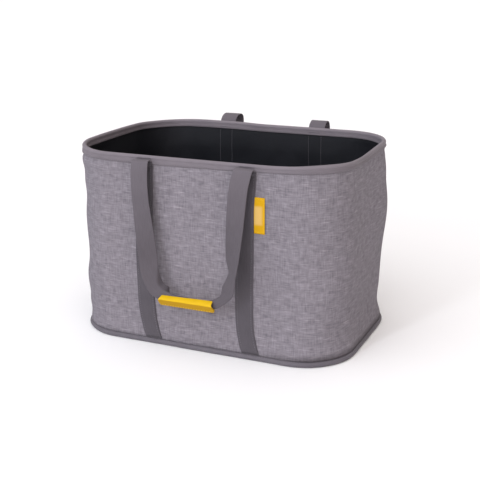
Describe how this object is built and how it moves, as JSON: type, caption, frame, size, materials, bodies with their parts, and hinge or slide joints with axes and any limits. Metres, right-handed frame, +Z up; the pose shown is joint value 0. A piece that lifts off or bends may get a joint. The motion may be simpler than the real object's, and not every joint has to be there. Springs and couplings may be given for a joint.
{
  "type": "collapsible fabric basket",
  "caption": "Free-standing oblong fabric basket with a wire-stiffened rim and base, a dark coated lining and webbing handles that hang outside.",
  "frame": {"origin": "on the floor, at the middle of the basket's footprint", "axes": "+X along the basket's long side, +Y from the side with the label towards the other long side, +Z up"},
  "size_m": [0.537, 0.4254, 0.367],
  "materials": {
    "hoop_wire": "drawn spring wire",
    "ferrule": "crimped steel sleeve",
    "binding_tape": "fine grosgrain tape",
    "heather_fabric": "heathered plain weave with slubs",
    "interlining": "stiff nonwoven sheet",
    "coated_lining": "smooth coated lining, low sheen",
    "base_board": "pressed board",
    "yellow_thread": "polyester thread",
    "grey_thread": "polyester thread",
    "yellow_grip": "smooth coated wrap, soft satin",
    "webbing": "close woven webbing"
  },
  "bodies": {
    "upper": {"rim_wire": "hoop_wire", "rim_wire_ferrule": "ferrule", "rim_binding": "binding_tape", "rim_binding_stitching": "grey_thread", "outer_wall": "heather_fabric", "wall_interlining": "interlining", "lining_wall": "coated_lining", "front_left_sewn_strap": "webbing", "front_right_sewn_strap": "webbing", "back_left_sewn_strap": "webbing", "back_right_sewn_strap": "webbing", "front_strap_stitching": "grey_thread", "back_strap_stitching": "grey_thread", "strap_bar_tacks": "grey_thread", "label_tab": "yellow_grip", "label_stitching": "yellow_thread"},
    "base": {"base_wire": "hoop_wire", "base_wire_ferrule": "ferrule", "base_binding": "binding_tape", "base_binding_stitching": "grey_thread", "base_board": "base_board", "base_outer_panel": "heather_fabric", "base_lining_panel": "coated_lining"},
    "front_handle": {"front_handle_webbing": "webbing", "front_grip": "yellow_grip", "front_grip_stitching": "yellow_thread"},
    "back_handle": {"back_handle_webbing": "webbing", "back_grip": "yellow_grip", "back_grip_stitching": "yellow_thread"}
  },
  "joints": [
    {"name": "collapse", "type": "slide", "parent": "upper", "child": "base", "axis": [0, 0, 1], "range_m": [0, 0.28], "deforming": ["outer_wall", "wall_interlining", "lining_wall", "front_left_sewn_strap", "front_right_sewn_strap", "back_left_sewn_strap", "back_right_sewn_strap", "front_strap_stitching", "back_strap_stitching", "strap_bar_tacks", "label_tab", "label_stitching"]},
    {"name": "front_handle_swing", "type": "hinge", "parent": "upper", "child": "front_handle", "pos_m": [0, -0.18486, 0.341], "axis": [-1, 0, 0], "range_deg": [0, 178]},
    {"name": "back_handle_swing", "type": "hinge", "parent": "upper", "child": "back_handle", "pos_m": [0, 0.19566, 0.3502], "axis": [1, 0, 0], "range_deg": [0, 178]}
  ]
}
